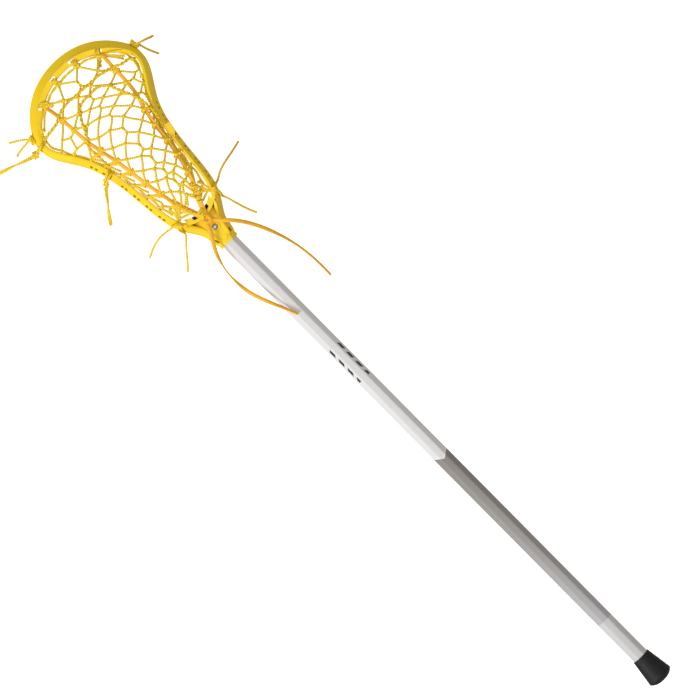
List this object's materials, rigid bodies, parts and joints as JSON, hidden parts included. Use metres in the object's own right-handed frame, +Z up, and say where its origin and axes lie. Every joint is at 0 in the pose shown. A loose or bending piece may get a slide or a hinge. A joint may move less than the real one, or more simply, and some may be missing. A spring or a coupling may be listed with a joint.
{
  "type": "lacrosse stick",
  "caption": "Field lacrosse stick with a laced head, leather thongs, an octagonal metal shaft and a rubber end cap.",
  "frame": {"origin": "on the surface that the stick lies on, under the middle of its length", "axes": "+X along the shaft from the butt to the scoop, +Y to the left of the head, +Z up, from the open face to the back of the head"},
  "size_m": [1.086, 0.2734, 0.0585],
  "materials": {
    "head_nylon": "moulded, satin gloss",
    "shaft_paint": "satin enamel, white running to grey",
    "cap_rubber": "matt",
    "screw_steel": "bright zinc",
    "stop_foam": "closed-cell foam",
    "lace_nylon": "braided nylon",
    "thong_leather": "dyed, smooth"
  },
  "bodies": {
    "root": {"head_frame": "head_nylon", "shaft": "shaft_paint", "end_cap": "cap_rubber", "head_screw": "screw_steel", "ball_stop_pad": "stop_foam", "left_thong": "thong_leather", "right_thong": "thong_leather", "thong_knot": "thong_leather", "cross_lace_net": "lace_nylon", "left_side_net": "lace_nylon", "right_side_net": "lace_nylon", "upper_shooting_cord": "lace_nylon", "lower_shooting_cord": "lace_nylon", "scoop_lace": "lace_nylon", "scoop_lashings": "lace_nylon", "left_shooting_knot": "lace_nylon", "left_corner_knot": "lace_nylon", "right_corner_knot": "lace_nylon", "left_wall_knot": "lace_nylon", "left_thong_tail": "thong_leather", "right_thong_tail": "thong_leather", "left_throat_tail_a": "lace_nylon", "left_throat_tail_b": "lace_nylon", "right_throat_tail_a": "lace_nylon", "right_throat_tail_b": "lace_nylon", "left_wall_tail": "lace_nylon", "left_corner_tail_a": "lace_nylon", "left_corner_tail_b": "lace_nylon", "left_shooting_tail": "lace_nylon", "right_corner_tail_a": "lace_nylon", "right_corner_tail_b": "lace_nylon"}
  },
  "joints": []
}
